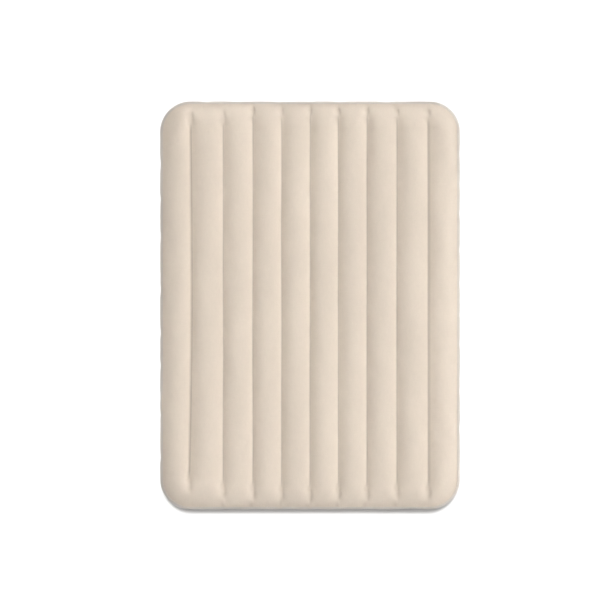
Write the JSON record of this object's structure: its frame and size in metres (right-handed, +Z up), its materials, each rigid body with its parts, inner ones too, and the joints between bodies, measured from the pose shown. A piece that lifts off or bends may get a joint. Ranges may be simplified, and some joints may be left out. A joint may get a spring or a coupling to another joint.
{
  "type": "air mattress",
  "caption": "Inflated queen-size air mattress with a flocked top, lengthwise air channels held by fibre beams, and a two-stage screw valve in the foot wall.",
  "frame": {"origin": "on the floor, under the middle of the mattress", "axes": "+Y along the length towards the head end, +X to the right seen from above with the head end up, +Z up"},
  "size_m": [1.492, 2.03, 0.25],
  "materials": {
    "flock": "matte",
    "wall_vinyl": "satin",
    "base_vinyl": "matte",
    "strip_vinyl": "satin",
    "fibre": "matte",
    "valve_body": "satin",
    "seal": "matte",
    "leash": "satin",
    "pin": "gloss"
  },
  "bodies": {
    "mattress": {"top_sheet": "flock", "side_wall": "wall_vinyl", "bottom_sheet": "base_vinyl", "upper_weld_strip_1": "strip_vinyl", "upper_weld_strip_2": "strip_vinyl", "upper_weld_strip_3": "strip_vinyl", "upper_weld_strip_4": "strip_vinyl", "upper_weld_strip_5": "strip_vinyl", "upper_weld_strip_6": "strip_vinyl", "upper_weld_strip_7": "strip_vinyl", "upper_weld_strip_8": "strip_vinyl", "upper_weld_strip_9": "strip_vinyl", "lower_weld_strip_1": "strip_vinyl", "lower_weld_strip_2": "strip_vinyl", "lower_weld_strip_3": "strip_vinyl", "lower_weld_strip_4": "strip_vinyl", "lower_weld_strip_5": "strip_vinyl", "lower_weld_strip_6": "strip_vinyl", "lower_weld_strip_7": "strip_vinyl", "lower_weld_strip_8": "strip_vinyl", "lower_weld_strip_9": "strip_vinyl", "beam_curtain_1": "fibre", "beam_curtain_2": "fibre", "beam_curtain_3": "fibre", "beam_curtain_4": "fibre", "beam_curtain_5": "fibre", "beam_curtain_6": "fibre", "beam_curtain_7": "fibre", "beam_curtain_8": "fibre", "beam_curtain_9": "fibre", "valve_base": "valve_body", "valve_gasket": "seal", "leash_collar_ring": "leash"},
    "valve_leash": {"leash_neck_ring": "leash", "leash_strap": "leash"},
    "valve_plug": {"valve_plug": "valve_body", "flap_pin": "pin", "cap_strap": "valve_body"},
    "check_flap": {"check_flap": "seal"},
    "valve_cap": {"valve_cap": "valve_body"}
  },
  "joints": [
    {"name": "valve_lift", "type": "slide", "parent": "mattress", "child": "valve_leash", "axis": [0, -1, 0], "range_m": [0, 0.0181]},
    {"name": "valve_turn", "type": "hinge", "parent": "valve_leash", "child": "valve_plug", "pos_m": [0.5, -1.015, 0.113], "axis": [0, -1, 0], "range_deg": [0, 810]},
    {"name": "cap_hinge", "type": "hinge", "parent": "valve_plug", "child": "valve_cap", "pos_m": [0.5, -1.0135, 0.1318], "axis": [-1, 0, 0], "range_deg": [0, 150]},
    {"name": "flap_hinge", "type": "hinge", "parent": "valve_plug", "child": "check_flap", "pos_m": [0.5, -0.9926, 0.1276], "axis": [1, 0, 0], "range_deg": [0, 60], "stiffness_Nm_per_rad": 0.0008}
  ],
  "couplings": [
    {"joint": "valve_lift", "follows": "valve_turn", "m_per_rad": 0.0012732}
  ]
}
